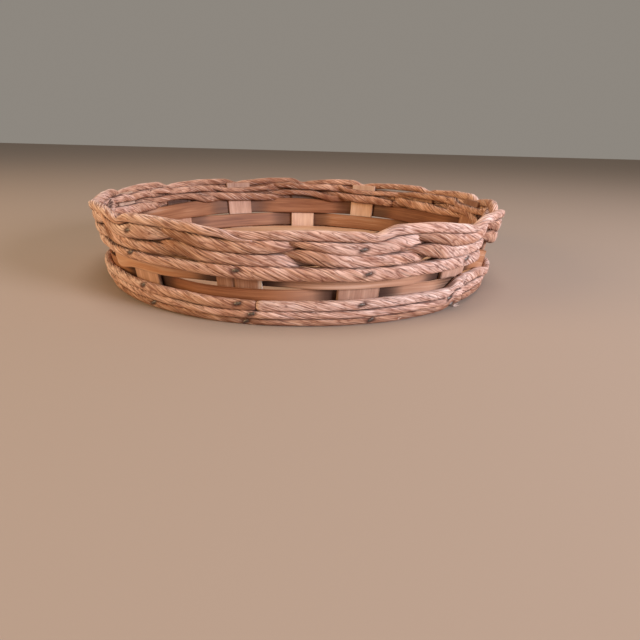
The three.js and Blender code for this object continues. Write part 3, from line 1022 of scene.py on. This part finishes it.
def stake_splint_piece(number):
    odd = number % 2
    height = STAKE_TOP - STAKE_FOOT_HEIGHT - ODD_STAKES_LOWER * odd
    outline = strip_outline(STAKE_WIDTH, STAKE_THICKNESS, STAKE_SIDES, STAKE_CORNER)
    sides = len(outline)
    along_at = np.linspace(STAKE_END, height - STAKE_END, STAKE_STATIONS - 3)
    along_at = np.concatenate([[0, 0], along_at, [height, height]])
    close = np.ones(STAKE_STATIONS + 1)
    close[[0, -1]] = 0
    close[[1, -2]] = STAKE_END_SHARE
    ridges = chance.uniform(-STAKE_RIDGE, STAKE_RIDGE, sides)
    tone = STAKE_TONES.get(number, chance.uniform(*OTHER_STAKE_TONES))
    width_change = wander(along_at, *STAKE_WIDTH_CHANGE)

    def shape(station, row):
        thick, wide = outline[row, 0], outline[row, 1]
        across = wide * (1 + width_change[station]) * close[station]
        x = (thick + ridges[row]) * close[station]
        split = np.zeros_like(x)
        # Painted sheen on some stakes' outer faces
        rubbed = STAKE_SHEEN * (number in SHEEN_STAKES) * (thick > 0)
        # The split is pressed in, and painted dark as painted shade in the crack
        if number == SPLIT_STAKE:
            split = bell(wide, SPLIT_AT, SPLIT_REACH) * (thick > 0)
            cut = ease(PALE_EDGE_FROM, PALE_EDGE_FROM + PALE_EDGE_BLEND, wide) * (thick > 0)
            rubbed = rubbed + PALE_EDGE_SHARE * cut
            across = across + WIDER_BY * ease(*WIDER_FROM, wide)
        place = number + (across + STAKE_SHIFTS.get(number, 0)) / STAKE_PITCH
        places = on_wall(place, x - SPLIT_DEPTH * split, STAKE_FOOT_HEIGHT + along_at[station])
        under_cord = bell(along_at[station], SHADED_HEIGHT, SHADED_REACH, 4) * (thick < 0)
        dark = np.maximum(split, SHADED_SHARE * under_cord * odd)
        dark = np.maximum(dark, TOP_SHADE * ease(*TOP_SHADE_FROM, along_at[station]) * (thick < 0))
        return places, along_at[station], {"tone": tone + 0 * x, "crease": dark, "rubbed": rubbed}

    name, cad_node = f"upright_{number:02d}", f"stake_{number:02d}"
    girth = 2 * (STAKE_WIDTH + STAKE_THICKNESS)
    tube(name, STAKE_STATIONS, sides, shape, girth, stake_splint, [cad_node])


for number in range(1, STAKE_COUNT + 1):
    stake_splint_piece(number)


def board():
    """The round base board, turned from its profile, with softened edges."""

    def edge_at(height):
        return WALL_RADIUS + WALL_LEAN * height - STAKE_THICKNESS / 2 - CLEARANCE

    top, soft = BOARD_THICKNESS, BOARD_EDGE_CHAMFER
    profile = [(0, 0)]
    for a in np.linspace(0, math.pi / 2, 5):
        profile.append((edge_at(soft) - soft + soft * math.sin(a), soft - soft * math.cos(a)))
    for a in np.linspace(0, math.pi / 2, 5):
        profile.append((edge_at(top - soft) - soft + soft * math.cos(a), top - soft + soft * math.sin(a)))
    profile.append((0, top))
    bm = bmesh.new()
    verts = [bm.verts.new((r * MM, 0, z * MM)) for r, z in profile]
    edges = [bm.edges.new(pair) for pair in zip(verts, verts[1:])]
    bmesh.ops.spin(bm, geom=verts + edges, axis=(0, 0, 1), cent=(0, 0, 0), steps=16 * STAKE_COUNT,
                   angle=2 * math.pi, use_merge=True)
    bmesh.ops.remove_doubles(bm, verts=bm.verts, dist=1e-7)
    bmesh.ops.recalc_face_normals(bm, faces=bm.faces)
    for face in bm.faces:
        face.smooth = face.normal.z ** 2 < 0.99
    finished("round_board", bm, bare_board, ["base_board"])


board()


# Camera, light and floor

PHOTO_WIDTH = 640  # pixels
PHOTO_FOCAL = 473.3  # focal length, in the same pixels
SENSOR = 36.0
CAMERA_PLACE = (0, -0.3306, 0.0837)
CAMERA_TURNS = (21.05, 2.63, 1.6)  # degrees down, to the right, and its right side raised


def camera():
    pitch, yaw, roll = (math.radians(a) for a in CAMERA_TURNS)
    forward = Vector((math.sin(yaw) * math.cos(pitch), math.cos(yaw) * math.cos(pitch), -math.sin(pitch)))
    level = Vector((math.cos(yaw), -math.sin(yaw), 0))
    upright = level.cross(forward)
    right = math.cos(roll) * level + math.sin(roll) * upright
    up = -math.sin(roll) * level + math.cos(roll) * upright
    data = bpy.data.cameras.new("photo_view")
    data.sensor_width = SENSOR
    data.lens = PHOTO_FOCAL * SENSOR / PHOTO_WIDTH
    data.clip_start = 0.01
    made = bpy.data.objects.new("photo_view", data)
    bpy.context.scene.collection.objects.link(made)
    turned = Matrix((right, up, -forward)).transposed().to_4x4()
    made.matrix_world = Matrix.Translation(CAMERA_PLACE) @ turned
    bpy.context.scene.camera = made


BASKET_MIDDLE = (0, 0, 0.02)


def area_light(name, place, size, watts, colour):
    """A round lamp this many metres across, which points at the basket."""
    data = bpy.data.lights.new(name, "AREA")
    data.shape = "DISK"
    data.size = size
    data.energy = watts
    data.color = linear(colour)[:3]
    made = bpy.data.objects.new(name, data)
    bpy.context.scene.collection.objects.link(made)
    made.location = place
    made.rotation_mode = "QUATERNION"
    made.rotation_quaternion = (Vector(BASKET_MIDDLE) - Vector(place)).to_track_quat("-Z", "Y")


def studio():
    bm = bmesh.new()
    bmesh.ops.create_grid(bm, x_segments=1, y_segments=1, size=3)
    mesh = bpy.data.meshes.new("studio_floor")
    bm.to_mesh(mesh)
    bm.free()
    floor = bpy.data.objects.new("studio_floor", mesh)
    bpy.context.scene.collection.objects.link(floor)
    pale, tree = new_material("pale_matt_floor")
    shader = node(tree, "BsdfPrincipled", {"Base Color": linear("#A8978A"), "Roughness": 0.9})
    node(tree, "OutputMaterial", {"Surface": shader.outputs["BSDF"]})
    mesh.materials.append(pale)
    area_light("window_side", (0.92, -0.7, 0.4), 0.4, 15, "#FAF6FF")
    area_light("room_side", (-1.05, -0.45, 0.4), 0.7, 10, "#FFD8A0")
    area_light("overhead", (0.1, -0.1, 1.2), 0.6, 5, "#FFF0E6")
    world = bpy.data.worlds.new("pale_room")
    bpy.context.scene.world = world
    world.use_nodes = True
    background = world.node_tree.nodes["Background"].inputs
    background["Color"].default_value = linear("#F3E9DC")
    background["Strength"].default_value = 0.3
    bpy.context.scene.view_settings.view_transform = "Standard"


camera()
studio()
